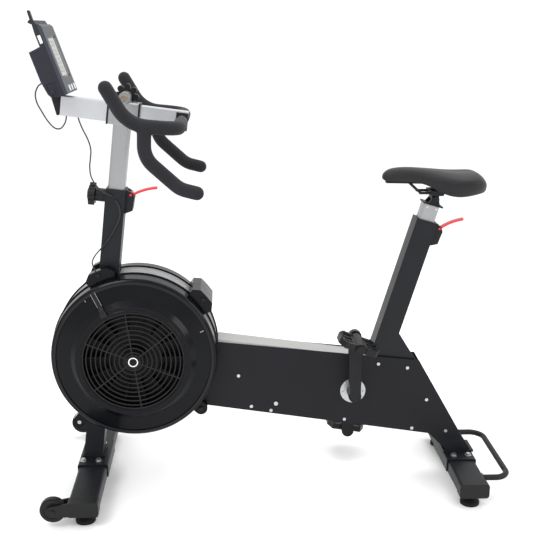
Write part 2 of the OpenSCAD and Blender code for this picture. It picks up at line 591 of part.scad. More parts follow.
module console_case() color(SLATE) {
    on_face() difference() {
        union() {
            slab(-con_half, con_half) polygon([[24, -17], [24, 150], [20, 167], [14, 168], [11.5, 137], [11.5, 106], [-17.5, 102], [-17.5, 30], [-12.5, -3], [-8, -11], [12, -17]]);
            // holder tab
            slab(-con_half + 3, -con_half + 17) polygon([[11.6, 160], [18, 165], [19, 190], [16, 192], [13.5, 190], [12.5, 171], [6, 168], [6, 165]]);
        }
        // room for the bracket
        translate([-40, -18.6, -40]) cube([54.5, 37.2, 55]);
        // screw recesses on both sides
        for (y = [-con_half - 1, con_half - 2]) slab(y, y + 3) polygon([[-7, 20], [13, 20], [15, 4], [11, -12], [-2, -12], [-9, 4]]);
    }
    on_face() rod_y(0, 0, 4, -con_half + 1.9, con_half - 1.9, 32);
    on_face() for (y = [-con_half - 0.5, con_half - 2.1]) rod_y(0, 0, 6.5, y, y + 2.6, 32);
}

module console_bezel() color(SLATE) on_face() difference() {
    slab(-con_half, con_half) polygon([[24.1, -17], [32.6, -16], [32.6, 148], [28, 155], [24.1, 156]]);
    translate([30.6, -52, 22]) cube([5, 104, 102]);
    translate([27, -48, 26]) cube([5, 96, 94]);
    for (y = [-22, 14, 50]) translate([29, y - 8.5, -12]) cube([6, 17, 15]);
}
module console_window() color([0.6, 0.66, 0.6]) on_face() translate([30.7, -51.7, 22.3]) cube([1.2, 103.4, 101.4]);
module button(y) on_face() translate([30.4, y - 8.2, -11.7]) cube([3.6, 16.4, 14.4]);
module button_1() color(SILVER) button(-22);
module button_2() color(SILVER) button(14);
module button_3() color(SILVER) button(50);

// Saddle assembly ---------------------------------------------------------

module seat_post() color(SILVER) on_seat() translate([0, 0, 50]) linear_extrude(304) difference() {
    rrect(42, 40, 5);
    rrect(36, 34, 3);
}
module post_cradle() color(BLACK) on_seat() difference() {
    union() {
        translate([-24, -22, 354.1]) cube([53, 44, 4]);
        both() slab(-21, -15) {
            polygon([[-12, 357], [20, 357], [13, 372], [-5, 372]]);
            translate([4, 372]) circle(r = 9, $fn = 48);
        }
    }
    rod_y(4, 372, 5.06, -30, 30, 32);
}
tilt_o = [seat_o[0] + 4 * cos(seat_lean) + 372 * sin(seat_lean), seat_o[1] - 4 * sin(seat_lean) + 372 * cos(seat_lean)];
rail_z = tilt_o[1] + 16.5;
module saddle_clamp() color(BLACK) difference() {
    union() {
        translate([tilt_o[0] - 16, -29, tilt_o[1] + 10]) cube([34, 58, 13]);
        slab(-14.6, 14.6) polygon([[tilt_o[0] - 10, tilt_o[1] + 11], [tilt_o[0] - 9, tilt_o[1]], [tilt_o[0] + 9, tilt_o[1]], [tilt_o[0] + 10, tilt_o[1] + 11]]);
        rod_y(tilt_o[0], tilt_o[1], 9, -14.6, 14.6, 48);
        rod_y(tilt_o[0], tilt_o[1], 5, -24, 24, 32);
        rod_y(tilt_o[0], tilt_o[1], 8, -26, -21.4, 32);
        rod_y(tilt_o[0], tilt_o[1], 8, 21.4, 26, 32);
    }
    for (i = [-1, 1]) translate([tilt_o[0] - 40, i * 21, rail_z]) rotate([0, 90, 0]) cylinder(r = 3.57, h = 90, $fn = 32);
}
module saddle_frame() color(BLACK) {
    both() {
        translate([346, -21, rail_z]) rotate([0, 90, 0]) cylinder(r = 3.5, h = 96, $fn = 40);
        bar([349, -21, rail_z + 0.6], [321, -12, 826], 3.3);
        bar([439, -21, rail_z + 0.6], [468, -26, 826], 3.3);
    }
    translate([0, 0, 824]) linear_extrude(5) polygon([[262, -9], [350, -17], [420, -38], [482, -42], [482, 42], [420, 38], [350, 17], [262, 9]]);
}
module saddle_pad() color(BLACK) difference() {
    union() {
        hull() for (i = [-1, 1]) {
            translate([nose_x + 15, i * 5, 847]) sphere(r = 14, $fn = 24);
            translate([350, i * 14, 848]) sphere(r = 17, $fn = 24);
        }
        hull() for (i = [-1, 1]) {
            translate([350, i * 14, 848]) sphere(r = 17, $fn = 24);
            translate([430, i * (seat_half - 22), 836]) sphere(r = 19, $fn = 24);
            translate([478, i * (seat_half - 24), 836]) sphere(r = 19, $fn = 24);
            translate([tail_x - 17, i * 22, 835]) sphere(r = 17, $fn = 24);
            translate([425, i * (seat_half - 10), 806]) sphere(r = 9, $fn = 16);
            translate([485, i * (seat_half - 22), 812]) sphere(r = 9, $fn = 16);
        }
    }
    translate([255, -30, 780]) cube([120, 60, 51.5]);
    translate([370, -46, 780]) cube([118, 92, 51.5]);
}

// Cables ----------------------------------------------------------------------

// Tube along a smooth curve through the points p
function cr(a, b, c, d, t) = 0.5 * ((2 * b) + (c - a) * t + (2 * a - 5 * b + 4 * c - d) * t * t + (3 * b - a - 3 * c + d) * t * t * t);
function curve(p, m) = [for (i = [0:len(p) - 2], j = [0:m - 1])
    cr(p[max(i - 1, 0)], p[i], p[i + 1], p[min(i + 2, len(p) - 1)], j / m)];
module cable(p, m, r) tube(concat(curve(p, m), [p[len(p) - 1]]), r, 8, [0.21, 0.97, 0.12]);
console_route = [[-592, -40, 1072], [-602, -42, 1064], [-609, -42, 1046], [-607, -38, 1025], [-598, -32, 1004], [-586, -24, 980],
    [-572, -14, 962], [-559, -7, 960], [-550, -3, 970], [-545.5, -1, 981], [-544, 0, 994]];
upper_route = [[-516, 0, 989], [-513, -3, 979], [-504, -14, 960], [-490, -26, 935], [-483, -33, 912], [-484, -38, 890], [-486, -42, 868], [-482, -44, 842], [-466, -43, 816], [-447, -41, 802], [-435.5, -37.5, 795.5], [-432.5, -30.5, 794]];
lower_route = [[-427, -29.8, 785], [-425, -34.5, 782], [-418, -37, 769], [-416, -36, 750], [-421, -35, 731], [-434, -34, 705], [-452, -34, 678], [-468, -35, 659],
    [-484, -39, 640], [-489.5, -44, 625], [-486, -48, 614], [-481, -50, 604]];
module console_cable() color(BLACK) cable(console_route, 3, 1.7);
module upper_cable() color(BLACK) cable(upper_route, 3, 1.7);
module lower_cable() color(BLACK) cable(lower_route, 3, 1.7);

main_frame();
top_trim();
left_cover();
right_cover();
housing_screws();
bracket_bolts();
front_bracket();
rear_bracket();
front_stabilizer();
rear_stabilizer();
front_caps();
rear_caps();
rear_handle();
fan_shell_left();
fan_shell_right();
grille_left();
grille_right();
outlet_band();
bb_discs();
drive_belt();
post_clamp_block();
seat_clamp_block();
lower_cable();
drive_spindle();
crank_left();
crank_right();
pedal_left();
pedal_right();
fan_shaft();
fan_wheels();
wheel_left();
wheel_right();
foot_front_left();
foot_front_right();
foot_rear_left();
foot_rear_right();
seat_post();
post_cradle();
saddle_clamp();
saddle_frame();
saddle_pad();
seat_lever();
post_lever();
handle_post();
top_knob();
pin_knob();
boom();
boom_insert();
bar_tube();
bar_foam();
console_bracket();
console_case();
console_bezel();
console_window();
button_1();
button_2();
button_3();
damper_lever();
console_cable();
upper_cable();
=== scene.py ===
import bpy, bmesh, math, json
from mathutils import Vector, Matrix


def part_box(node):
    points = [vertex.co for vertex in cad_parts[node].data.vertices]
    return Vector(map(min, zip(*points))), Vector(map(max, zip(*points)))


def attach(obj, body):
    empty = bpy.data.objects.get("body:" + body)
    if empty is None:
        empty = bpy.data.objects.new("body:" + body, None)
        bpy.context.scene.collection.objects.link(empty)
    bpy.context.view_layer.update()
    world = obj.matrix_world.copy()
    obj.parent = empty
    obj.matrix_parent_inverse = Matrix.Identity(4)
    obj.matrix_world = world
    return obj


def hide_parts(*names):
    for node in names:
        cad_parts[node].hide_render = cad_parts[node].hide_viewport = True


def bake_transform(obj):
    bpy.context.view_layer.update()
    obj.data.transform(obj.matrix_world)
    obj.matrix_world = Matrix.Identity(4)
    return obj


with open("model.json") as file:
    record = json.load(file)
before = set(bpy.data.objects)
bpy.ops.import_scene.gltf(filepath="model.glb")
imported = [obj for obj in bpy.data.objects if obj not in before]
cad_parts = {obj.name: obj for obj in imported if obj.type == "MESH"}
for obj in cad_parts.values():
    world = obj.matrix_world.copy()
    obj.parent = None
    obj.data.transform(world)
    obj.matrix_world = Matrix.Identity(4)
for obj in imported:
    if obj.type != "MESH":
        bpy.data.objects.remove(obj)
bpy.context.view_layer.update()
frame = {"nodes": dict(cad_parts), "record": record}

S = bpy.context.scene
R = math.radians

# ---------------------------------------------------------------- camera
psi, phi, rho = 0.053508577720108065, 0.2619919492246911, 0.010088134713137699
fw = Vector((math.sin(psi) * math.cos(phi), math.cos(psi) * math.cos(phi), -math.sin(phi)))
r0 = Vector((math.cos(psi), -math.sin(psi), 0.0))
u0 = r0.cross(fw)
cr_, sr_ = math.cos(rho), math.sin(rho)
rx, ux = cr_ * r0 + sr_ * u0, -sr_ * r0 + cr_ * u0
cam_data = bpy.data.cameras.new("camera")
cam = bpy.data.objects.new("camera", cam_data)
S.collection.objects.link(cam)
cam_data.sensor_width = 36.0
cam_data.lens = 890.796 / 533.0 * 36.0
cam_data.clip_start, cam_data.clip_end = 0.05, 900.0
M = Matrix(((rx.x, ux.x, -fw.x, -0.164023), (rx.y, ux.y, -fw.y, -2.253628), (rx.z, ux.z, -fw.z, 1.206743), (0, 0, 0, 1)))
cam.matrix_world = M
S.camera = cam

# ---------------------------------------------------------------- materials
MATS = {}


def new_mat(name):
    m = bpy.data.materials.new(name)
    m.use_nodes = True
    nt = m.node_tree
    nt.nodes.clear()
    out = nt.nodes.new("ShaderNodeOutputMaterial")
    b = nt.nodes.new("ShaderNodeBsdfPrincipled")
    nt.links.new(b.outputs[0], out.inputs[0])
    MATS[name] = m
    return m, nt, b


def surface(name, base, rough, metallic=0.0, var=0.14, scale=14.0, grain=900.0, bump=0.12, dist=0.0003, bevel=0.0008,
            coat=0.0, sheen=0.0, spec=0.5, stretch=(1, 1, 1), rvar=0.07, kind="noise"):
    m, nt, b = new_mat(name)
    N, L = nt.nodes, nt.links
    tc = N.new("ShaderNodeTexCoord")
    mp = N.new("ShaderNodeMapping")
    mp.inputs["Scale"].default_value = stretch
    L.new(tc.outputs["Object"], mp.inputs["Vector"])
    big = N.new("ShaderNodeTexNoise")
    big.inputs["Scale"].default_value = scale
    big.inputs["Detail"].default_value = 5.0
    L.new(mp.outputs[0], big.inputs["Vector"])
    fine = N.new("ShaderNodeTexVoronoi" if kind == "voronoi" else "ShaderNodeTexNoise")
    fine.inputs["Scale"].default_value = grain
    if kind != "voronoi":
        fine.inputs["Detail"].default_value = 4.0
    L.new(mp.outputs[0], fine.inputs["Vector"])
    ramp = N.new("ShaderNodeValToRGB")
    lo = [max(0.0, c * (1 - var)) for c in base[:3]] + [1]
    hi = [min(1.0, c * (1 + var)) for c in base[:3]] + [1]
    ramp.color_ramp.elements[0].position, ramp.color_ramp.elements[1].position = 0.3, 0.7
    ramp.color_ramp.elements[0].color, ramp.color_ramp.elements[1].color = lo, hi
    mix = N.new("ShaderNodeMath")
    mix.operation = "MULTIPLY_ADD"
    L.new(fine.outputs[0], mix.inputs[0])
    mix.inputs[1].default_value = 0.35
    mx2 = N.new("ShaderNodeMath")
    mx2.operation = "MULTIPLY"
    L.new(big.outputs[0], mx2.inputs[0])
    mx2.inputs[1].default_value = 0.65
    L.new(mx2.outputs[0], mix.inputs[2])
    L.new(mix.outputs[0], ramp.inputs[0])
    L.new(ramp.outputs[0], b.inputs["Base Color"])
    rr = N.new("ShaderNodeMapRange")
    rr.inputs["To Min"].default_value = max(0.03, rough - rvar)
    rr.inputs["To Max"].default_value = min(1.0, rough + rvar)
    L.new(big.outputs[0], rr.inputs["Value"])
    L.new(rr.outputs[0], b.inputs["Roughness"])
    bp = N.new("ShaderNodeBump")
    bp.inputs["Strength"].default_value = bump
    bp.inputs["Distance"].default_value = dist
    L.new(fine.outputs[0], bp.inputs["Height"])
    if bevel:
        bv = N.new("ShaderNodeBevel")
        bv.samples = 4
        bv.inputs["Radius"].default_value = bevel
        L.new(bv.outputs[0], bp.inputs["Normal"])
    L.new(bp.outputs[0], b.inputs["Normal"])
    b.inputs["Metallic"].default_value = metallic
    b.inputs["Specular IOR Level"].default_value = spec
    b.inputs["Coat Weight"].default_value = coat
    b.inputs["Coat Roughness"].default_value = 0.12
    b.inputs["Sheen Weight"].default_value = sheen
    b.inputs["Sheen Roughness"].default_value = 0.5
    return m, nt, b, tc, ramp, bp


surface("frame_black", (0.0068, 0.0078, 0.0100), 0.42, var=0.22, grain=1500, bump=0.18, spec=0.22)
surface("cover_black", (0.0058, 0.0060, 0.0084), 0.48, var=0.2, grain=1300, bump=0.16, spec=0.2)
surface("shell_black", (0.0030, 0.0033, 0.0045), 0.22, var=0.2, grain=500, bump=0.04, coat=0.08, bevel=0.0012, spec=0.1)
surface("grille_black", (0.006, 0.0061, 0.0066), 0.38, var=0.2, grain=1200, bump=0.1, spec=0.25)
surface("silver_tube", (0.315, 0.32, 0.33), 0.34, metallic=0.8, var=0.1, scale=9, grain=700, bump=0.06, stretch=(1, 1, 0.06), bevel=0.0012)
surface("boom_silver", (0.53, 0.54, 0.56), 0.34, metallic=0.8, var=0.1, scale=9, grain=700, bump=0.06, stretch=(0.06, 1, 1), bevel=0.0012)
surface("trim_grey", (0.31, 0.31, 0.305), 0.42, var=0.07, grain=1100, bump=0.1, bevel=0.0012)
surface("disc_silver", (0.42, 0.43, 0.44), 0.34, metallic=0.85, var=0.1, grain=900, bump=0.08)
surface("steel", (0.50, 0.50, 0.49), 0.30, metallic=0.95, var=0.12, grain=900, bump=0.06, bevel=0.0004)
surface("brass", (0.30, 0.25, 0.19), 0.32, metallic=0.9, var=0.12, grain=900, bump=0.06, bevel=0.0004)
surface("black_plastic", (0.0075, 0.0078, 0.0085), 0.44, var=0.22, grain=1200, bump=0.15, bevel=0.0012, spec=0.22)
surface("black_rubber", (0.0085, 0.0085, 0.0085), 0.72, var=0.25, grain=900, bump=0.25, bevel=0.001, spec=0.2)
surface("belt_rubber", (0.01, 0.01, 0.01), 0.6, var=0.2, grain=500, bump=0.2, stretch=(1, 6, 1))
surface("foam", (0.0135, 0.0138, 0.0165), 0.8, var=0.3, scale=22, grain=700, bump=0.42, dist=0.0004, sheen=0.06, bevel=0, kind="voronoi", spec=0.18)
surface("saddle_cover", (0.0095, 0.0098, 0.011), 0.55, var=0.24, scale=18, grain=800, bump=0.32, dist=0.0003, sheen=0.08, bevel=0, kind="voronoi", spec=0.25)
surface("lever_red", (0.62, 0.022, 0.03), 0.3, var=0.12, grain=700, bump=0.05, coat=0.3, bevel=0.001)
surface("console_slate", (0.014, 0.0155, 0.022), 0.5, var=0.16, grain=1400, bump=0.2, bevel=0.0012, spec=0.25)
surface("bezel_slate", (0.03, 0.034, 0.046), 0.42, var=0.14, grain=1400, bump=0.15, bevel=0.0012, spec=0.3)
surface("button_white", (0.62, 0.66, 0.70), 0.4, var=0.06, grain=900, bump=0.08, bevel=0.001)
surface("label_white", (0.70, 0.71, 0.72), 0.55, var=0.05, grain=900, bump=0.04, bevel=0)
# pale grey for the small marks on the shell and for the painted highlight along the damper lever's edges
surface("pale_mark_and_edge_highlight", (0.24, 0.245, 0.25), 0.5, var=0.1, grain=900, bump=0.05, bevel=0)
surface("mid_grey", (0.13, 0.133, 0.135), 0.5, var=0.12, grain=1000, bump=0.1, bevel=0.0008)
surface("cast_black", (0.008, 0.0084, 0.0095), 0.33, var=0.22, grain=700, bump=0.12, bevel=0.0018, coat=0.05, spec=0.16)
surface("fan_blades", (0.005, 0.005, 0.0055), 0.5, var=0.2, grain=700, bump=0.08, spec=0.2)
surface("cable_black", (0.010, 0.010, 0.010), 0.5, var=0.15, grain=900, bump=0.1, bevel=0)
surface("screen", (0.195, 0.22, 0.20), 0.16, var=0.05, grain=700, bump=0.02, coat=0.4, bevel=0)

# pale outlet band with rows of small round holes, worked out from the place on the cylinder
m, nt, b, tc, ramp, bp = surface("band_grey", (0.27, 0.275, 0.28), 0.45, var=0.08, grain=900, bump=0.08)
N, L = nt.nodes, nt.links


def math_node(op, a, b_=None, c=None):
    n = N.new("ShaderNodeMath")
    n.operation = op
    for i, v in enumerate((a, b_, c)):
        if v is None:
            continue
        if isinstance(v, (int, float)):
            n.inputs[i].default_value = v
        else:
            L.new(v, n.inputs[i])
    return n.outputs[0]


sep = N.new("ShaderNodeSeparateXYZ")
L.new(tc.outputs["Object"], sep.inputs[0])
dx = math_node("ADD", sep.outputs["X"], 0.387)
dz = math_node("SUBTRACT", sep.outputs["Z"], 0.380)
ang = math_node("ARCTAN2", dz, dx)
ca = math_node("MULTIPLY", ang, 0.213 / 0.0062)
row = math_node("MULTIPLY", sep.outputs["Y"], 1.0 / 0.0062)
half = math_node("MULTIPLY", math_node("FLOOR", row), 0.5)
fa = math_node("SUBTRACT", math_node("FRACT", math_node("ADD", ca, half)), 0.5)
fr_ = math_node("SUBTRACT", math_node("FRACT", row), 0.5)
d2 = math_node("ADD", math_node("MULTIPLY", fa, fa), math_node("MULTIPLY", fr_, fr_))
hole = math_node("LESS_THAN", d2, 0.075)
mixc = N.new("ShaderNodeMix")
mixc.data_type = "RGBA"
L.new(hole, mixc.inputs["Factor"])
L.new(ramp.outputs[0], mixc.inputs[6])
mixc.inputs[7].default_value = (0.012, 0.012, 0.013, 1)
L.new(mixc.outputs[2], b.inputs["Base Color"])

SLOT_MAT = {s: s for s in ("frame_black", "cover_black", "shell_black", "grille_black", "silver_tube", "trim_grey", "band_grey", "disc_silver",
                           "steel", "black_plastic", "black_rubber", "belt_rubber", "foam", "saddle_cover", "lever_red", "console_slate",
                           "bezel_slate", "screen", "button_white", "cast_black", "fan_blades", "cable_black")}
node_slot = {s["node"]: s["material_slot"] for s in frame["record"]["subparts"]}
for n, o in frame["nodes"].items():
    name = "boom_silver" if n == "boom" else SLOT_MAT[node_slot[n]]
    o.data.materials.clear()
    o.data.materials.append(MATS[name])

# ---------------------------------------------------------------- mesh helpers


def place(name, verts, faces, body, mat, smooth=True, autosmooth=35.0):
    me = bpy.data.meshes.new(name)
    me.from_pydata([tuple(v) for v in verts], [], faces)
    bm = bmesh.new()
    bm.from_mesh(me)
    bmesh.ops.recalc_face_normals(bm, faces=bm.faces)
    bm.to_mesh(me)
    bm.free()
    ob = bpy.data.objects.new(name, me)
    S.collection.objects.link(ob)
    me.materials.append(MATS[mat])
    if smooth:
        for p in me.polygons:
            p.use_smooth = True
        me.set_sharp_from_angle(angle=R(autosmooth))
    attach(ob, body)
    return ob


def frame_at(o, x, y, z):
    return Matrix(((x[0], y[0], z[0], o[0]), (x[1], y[1], z[1], o[1]), (x[2], y[2], z[2], o[2]), (0, 0, 0, 1)))


def leaning(ox, oz, deg):
    a = R(deg)
    return frame_at((ox, 0, oz), (math.cos(a), 0, -math.sin(a)), (0, 1, 0), (math.sin(a), 0, math.cos(a)))


ON_POST = leaning(-0.5193, 0.0, 6.6)
ON_SEAT = leaning(0.284, 0.4277, 16.0)
ON_BOOM = leaning(-0.5, 1.0104, 7.0)
ON_FACE = leaning(-0.562, 1.054, -19.3)


def lathe(profile, seg=64, full=2 * math.pi):
    """profile [(radius, height)] turned about Z; closed loop of points."""
    v, f = [], []
    n = len(profile)
    for i in range(seg):
        a = full * i / seg
        for (r, h) in profile:
            v.append(Vector((r * math.cos(a), r * math.sin(a), h)))
    for i in range(seg):
        j = (i + 1) % seg
        for k in range(n):
            l = (k + 1) % n
            f.append((i * n + k, j * n + k, j * n + l, i * n + l))
    return v, f


def moved(mat4, verts):
    return [mat4 @ Vector(v) for v in verts]


def y_axis(x, z, near=-1):
    """Frame whose Z points out of the left side (near=-1) or the right side (near=1) at X, Z."""
    if near < 0:
        return frame_at((x, 0, z), (1, 0, 0), (0, 0, 1), (0, -1, 0))
    return frame_at((x, 0, z), (1, 0, 0), (0, 0, -1), (0, 1, 0))


def round_box(sx, sy, sz, r, seg=3):
    bm = bmesh.new()
    bmesh.ops.create_cube(bm, size=1.0)
    for v in bm.verts:
        v.co = Vector((v.co.x * sx, v.co.y * sy, v.co.z * sz))
    bmesh.ops.bevel(bm, geom=list(bm.edges), offset=r, segments=seg, profile=0.5, affect="EDGES", clamp_overlap=True)
    v = [x.co.copy() for x in bm.verts]
    bm.verts.index_update()
    f = [tuple(w.index for w in p.verts) for p in bm.faces]
    bm.free()
    return v, f


def tube_mesh(pts, radii, sides=24, ref=Vector((0, 1, 0))):
    v, f = [], []
    n = len(pts)
    # frames carried along the path
    prev = None
    for i, p in enumerate(pts):
        d = (pts[min(i + 1, n - 1)] - pts[max(i - 1, 0)]).normalized()
        if prev is None:
            u = d.cross(ref)
            if u.length < 0.2:
                u = d.cross(Vector((0, 0, 1)))
        else:
            u = prev - d * prev.dot(d)
        u.normalize()
        prev = u
        w = d.cross(u)
        for k in range(sides):
            a = 2 * math.pi * k / sides
            v.append(p + radii[i] * (math.cos(a) * u + math.sin(a) * w))
    for i in range(n - 1):
        for k in range(sides):
            l = (k + 1) % sides
            f.append((i * sides + k, i * sides + l, (i + 1) * sides + l, (i + 1) * sides + k))
    f.append(tuple(range(sides))[::-1])
    f.append(tuple((n - 1) * sides + k for k in range(sides)))
    return v, f


def bends(p, rb, m=10):
    out = [p[0]]
    for i in range(1, len(p) - 1):
        a = (p[i] - p[i - 1]).normalized()
        b_ = (p[i + 1] - p[i]).normalized()
        w = a.angle(b_)
        u = (b_ - a * b_.dot(a)).normalized()
        r = rb[i - 1]
        c = p[i] - a * (r * math.tan(w / 2)) + u * r
        for j in range(m + 1):
            out.append(c - u * (r * math.cos(j * w / m)) + a * (r * math.sin(j * w / m)))
    out.append(p[-1])
    return out


def densify(p, step):
    out = [p[0]]
    for a, b_ in zip(p, p[1:]):
        k = max(1, int(math.ceil((b_ - a).length / step)))
        for j in range(1, k + 1):
            out.append(a.lerp(b_, j / k))
    return out


def mirror_y(v, f, off=0):
    return [Vector((p.x, -p.y, p.z)) for p in v], [tuple(reversed(q)) for q in f]


def join(parts):
    V, F = [], []
    for v, f in parts:
        o = len(V)
        V += list(v)
        F += [tuple(i + o for i in q) for q in f]
    return V, F


# ---------------------------------------------------------------- cables
def crv(a, b_, c, d, t):
    return 0.5 * ((2 * b_) + (c - a) * t + (2 * a - 5 * b_ + 4 * c - d) * t * t + (3 * b_ - a - 3 * c + d) * t ** 3)


def cable(name, route, node, body=None, across=None):
    p = [Vector((x / 1000, y / 1000, z / 1000)) for x, y, z in route]
    pts = []
    for i in range(len(p) - 1):
        for j in range(6):
            pts.append(crv(p[max(i - 1, 0)], p[i], p[i + 1], p[min(i + 2, len(p) - 1)], j / 6))
    pts.append(p[-1])
    v, f = tube_mesh(pts, [0.0017] * len(pts), 16)
    me = bpy.data.meshes.new(name)
    me.from_pydata([tuple(q) for q in v], [], f)
    bm = bmesh.new()
    bm.from_mesh(me)
    bmesh.ops.recalc_face_normals(bm, faces=bm.faces)
    bm.to_mesh(me)
    bm.free()
    for q in me.polygons:
        q.use_smooth = True
    me.set_sharp_from_angle(angle=R(50))
    ob = bpy.data.objects.new(name, me)
    S.collection.objects.link(ob)
    me.materials.append(MATS["cable_black"])
    if across:
        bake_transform(ob)
    else:
        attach(ob, body)
    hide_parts(node)


cable("display_lead", [[-592, -40, 1072], [-602, -42, 1064], [-609, -42, 1046], [-607, -38, 1025], [-598, -32, 1004], [-586, -24, 980],
                       [-572, -14, 962], [-559, -7, 960], [-550, -3, 970], [-545.5, -1, 981], [-544, 0, 994]], "console_cable",
      across=("console", "handlebar", (-0.60, -0.04, 1.060), (-0.59, -0.03, 0.985)))
cable("mast_lead", [[-516, 0, 989], [-513, -3, 979], [-504, -14, 960], [-490, -26, 935], [-483, -33, 912], [-484, -38, 890], [-486, -42, 868],
                    [-482, -44, 842], [-466, -43, 816], [-447, -41, 802], [-435.5, -37.5, 795.5], [-432.5, -30.5, 794]], "upper_cable",
      across=("handle_mast", "base", (-0.49, -0.03, 0.935), (-0.47, -0.04, 0.805)))
cable("fan_lead", [[-427, -29.8, 785], [-425, -34.5, 782], [-418, -37, 769], [-416, -36, 750], [-421, -35, 731], [-434, -34, 705], [-452, -34, 678],
                   [-468, -35, 659], [-484, -39, 640], [-489.5, -44, 625], [-486, -48, 614], [-481, -50, 604]], "lower_cable", body="base")

# ---------------------------------------------------------------- foam grips, one blended piece
bdip = R(7)
bo = Vector((-0.5 + 0.243 * math.cos(bdip), 0, 1.0104 - 0.243 * math.sin(bdip)))
t5 = math.tan(R(5))
by, fr = -0.207, 0.0165


def mm(x, y, z):
    return Vector((x / 1000, y / 1000, z / 1000))


rail = bends([Vector((bo.x, -0.0661, bo.z)), Vector((bo.x, by, bo.z)), Vector((-0.373, by, bo.z + t5 * (bo.x + 0.373))), Vector((-0.4205, by, 1.0725))], [0.044, 0.08])
drop = bends([Vector((-0.336, by, bo.z + t5 * (bo.x + 0.336))), Vector((-0.338, by, 0.916)), Vector((-0.257, by, 0.8434)), Vector((-0.2177, by, 0.8336))], [0.06, 0.06])


def domed(path, r, soft_start=False):
    p = densify(path, 0.006)
    rad = [r] * len(p)
    d = (p[-1] - p[-2]).normalized()
    for a in (15, 30, 45, 60, 75, 85):
        p.append(p[len(rad) - 1] if False else path[-1] + d * (r * math.sin(R(a))))
        rad.append(r * math.cos(R(a)))
    if soft_start:
        rad[0] = r - 0.0022
        p.insert(1, p[0].lerp(p[1], 0.35))
        rad.insert(1, r)
    return tube_mesh(p, rad, 32)


halves = []
for part in (domed(rail, fr, True), domed(drop, fr)):
    halves.append(part)
    halves.append(mirror_y(*part))
V, F = join(halves)
foam = place("grips", V, F, "handlebar", "foam")
rm = foam.modifiers.new("fuse", "REMESH")
rm.mode = "VOXEL"
rm.voxel_size = 0.0022
rm.use_smooth_shade = True
sm = foam.modifiers.new("ease", "SMOOTH")
sm.factor, sm.iterations = 0.5, 5
dg = bpy.context.evaluated_depsgraph_get()
me2 = bpy.data.meshes.new_from_object(foam.evaluated_get(dg))
foam.modifiers.clear()
foam.data = me2
for p in me2.polygons:
    p.use_smooth = True
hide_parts("bar_foam")

# ---------------------------------------------------------------- saddle
XS = [252, 254.5, 260, 270, 285, 302, 320, 340, 360, 380, 398, 414, 430, 446, 462, 476, 490, 501, 510, 516, 519]
W = [3, 10, 15.5, 19.5, 21.5, 23, 25, 28, 33, 42, 53, 63, 71, 76, 78, 77.5, 73, 65, 52, 36, 14]
TOP = [843, 848, 854, 860, 863, 864.4, 864.6, 863.8, 862.4, 860.4, 858.4, 856.6, 855.4, 854.6, 854.8, 855.4, 855.6, 850, 841, 833, 826]
EDG = [839, 840, 841.5, 843, 844, 845, 845, 844, 842, 839, 837, 835.5, 835, 835, 835.5, 836, 835, 832, 828, 824, 821]
BOT = [835, 832, 830, 829, 829, 829, 828.5, 827, 822, 813, 803, 797, 794.5, 794.5, 797, 800, 803, 805, 807, 810, 814]
rings = []
NT, NS, NB = 20, 6, 12
for x, w, t, e, bt in zip(XS, W, TOP, EDG, BOT):
    ring = []
    for i in range(NT + 1):
        a = math.pi * i / NT
        y = w * math.cos(a)
        q = abs(math.cos(a))
        z = e + (t - e) * (max(0.0, 1 - q ** 2.6)) ** (1 / 1.9)
        # a shallow pressure-relief channel along the middle of the rear half
        if x > 330:
            z -= 2.6 * math.exp(-(y / 8.0) ** 2) * min(1, (x - 330) / 50) * min(1, max(0, (500 - x) / 40))
        ring.append((y, z))
    for i in range(1, NS + 1):
        s = i / NS
        ring.append((-(w + 1.2 * math.sin(math.pi * s) - 0.16 * w * s ** 2), e + (bt - e) * s))
    for i in range(1, NB):
        s = -1 + 2 * i / NB
        ring.append((s * 0.84 * w, bt + min(17.0, (e - bt) * 0.45) * (1 - s * s) ** 0.5))
    for i in range(NS, 0, -1):
        s = i / NS
        ring.append(((w + 1.2 * math.sin(math.pi * s) - 0.16 * w * s ** 2), e + (bt - e) * s))
    rings.append([Vector((x / 1000, y / 1000, z / 1000)) for y, z in ring])
k = len(rings[0])
V = [p for r_ in rings for p in r_]
F = [(i * k + j, i * k + (j + 1) % k, (i + 1) * k + (j + 1) % k, (i + 1) * k + j) for i in range(len(rings) - 1) for j in range(k)]
F.append(tuple(range(k))[::-1])
F.append(tuple((len(rings) - 1) * k + j for j in range(k)))
sad = place("saddle_cushion", V, F, "saddle", "saddle_cover", autosmooth=80)
sub = sad.modifiers.new("round", "SUBSURF")
sub.levels = sub.render_levels = 2
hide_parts("saddle_pad")
# sewn seam a little below the crown on both sides
for side in (-1, 1):
    path = []
    for x, w, e, bt in list(zip(XS, W, EDG, BOT))[2:-2]:
        path.append(Vector((x / 1000, side * (w + 0.2) / 1000, (e - 1.5) / 1000)))
    v, f = tube_mesh(densify(path, 0.006), [0.0009] * len(densify(path, 0.006)), 8)
    place("saddle_seam_" + ("l" if side < 0 else "r"), v, f, "saddle", "saddle_cover")

# ---------------------------------------------------------------- sleeve collars and boss bolt
for i, x in enumerate((0.0585, 0.1345)):
    outer, inner = [], []
    v, f = [], []
    hy, hz, iy, iz, th = 0.0267, 0.0295, 0.0203, 0.0238, 0.005
    for xx in (x, x + th):
        for (sy, sz) in ((1, 1), (-1, 1), (-1, -1), (1, -1)):
            v.append(Vector((xx, sy * hy, sz * hz)))
        for (sy, sz) in ((1, 1), (-1, 1), (-1, -1), (1, -1)):
            v.append(Vector((xx, sy * iy, sz * iz)))
    for k2 in range(4):
        l = (k2 + 1) % 4
        f += [(k2, l, 8 + l, 8 + k2), (4 + k2, 12 + k2, 12 + l, 4 + l), (k2, 4 + k2, 4 + l, l), (8 + k2, 8 + l, 12 + l, 12 + k2)]
    ob = place(f"sleeve_collar_{i}", moved(ON_BOOM, v), f, "handle_mast", "black_plastic", smooth=False)
    bv = ob.modifiers.new("edge", "BEVEL")
    bv.width, bv.segments = 0.0012, 3
